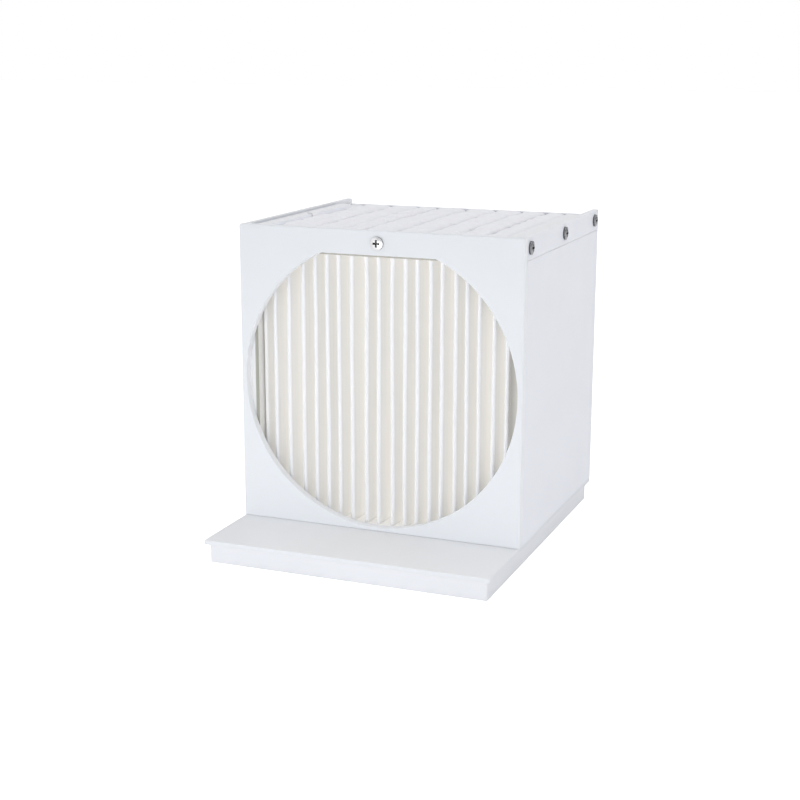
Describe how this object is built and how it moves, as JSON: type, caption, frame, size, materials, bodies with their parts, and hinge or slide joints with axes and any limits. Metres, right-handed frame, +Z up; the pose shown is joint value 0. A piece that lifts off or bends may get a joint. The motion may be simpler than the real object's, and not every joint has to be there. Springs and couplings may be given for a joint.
{
  "type": "fume extractor filter cartridge",
  "caption": "White sheet-plastic box on a ledged base: air enters a round front opening, passes an upright pleated filter pack and leaves through a ribbed fleece pad in the open top.",
  "frame": {"origin": "centre of the overall footprint, on the underside of the skirt the cartridge stands on", "axes": "+X to the right seen from the inlet side, +Y from the front ledge towards the rear wall, +Z up"},
  "size_m": [0.1838, 0.216, 0.1975],
  "materials": {
    "white_sheet": "satin",
    "fleece": "matte",
    "pleat_media": "matte",
    "pack_board": "matte",
    "foam_seal": "matte",
    "bright_screw": "polished",
    "nylon_washer": "satin"
  },
  "bodies": {
    "case": {"base_plate": "white_sheet", "skirt_front": "white_sheet", "skirt_rear": "white_sheet", "skirt_left": "white_sheet", "skirt_right": "white_sheet", "left_side_wall": "white_sheet", "right_side_wall": "white_sheet", "rear_wall": "white_sheet", "left_spacer_washers": "nylon_washer", "right_spacer_washers": "nylon_washer", "left_rail": "white_sheet", "right_rail": "white_sheet", "front_crossbar": "white_sheet", "rear_crossbar": "white_sheet", "pad_support_grid": "white_sheet", "left_stop_batten": "white_sheet", "right_stop_batten": "white_sheet", "bottom_stop_batten": "white_sheet", "partition_header": "white_sheet"},
    "cassette": {"front_plate": "white_sheet", "pleated_pack": "pleat_media", "pack_top_board": "pack_board", "pack_bottom_board": "pack_board", "pack_left_board": "pack_board", "pack_right_board": "pack_board", "pack_partition": "white_sheet", "partition_gasket": "foam_seal"},
    "front_screw": {"front_plate_screw": "bright_screw"},
    "left_strip": {"left_clamp_strip": "white_sheet", "left_strip_screws": "bright_screw"},
    "right_strip": {"right_clamp_strip": "white_sheet", "right_strip_screws": "bright_screw"},
    "pad": {"outlet_pad": "fleece"}
  },
  "joints": [
    {"name": "cassette_slide", "type": "slide", "parent": "case", "child": "cassette", "axis": [0, -1, 0], "range_m": [0, 0.115]},
    {"name": "front_screw_turn", "type": "hinge", "parent": "cassette", "child": "front_screw", "pos_m": [0, -0.054, 0.1902], "axis": [0, -1, 0], "continuous": true},
    {"name": "left_strip_off", "type": "slide", "parent": "case", "child": "left_strip", "axis": [-1, 0, 0], "range_m": [0, 0.03]},
    {"name": "right_strip_off", "type": "slide", "parent": "case", "child": "right_strip", "axis": [1, 0, 0], "range_m": [0, 0.03]},
    {"name": "pad_lift", "type": "slide", "parent": "case", "child": "pad", "axis": [0, 0, 1], "range_m": [0, 0.03]}
  ]
}
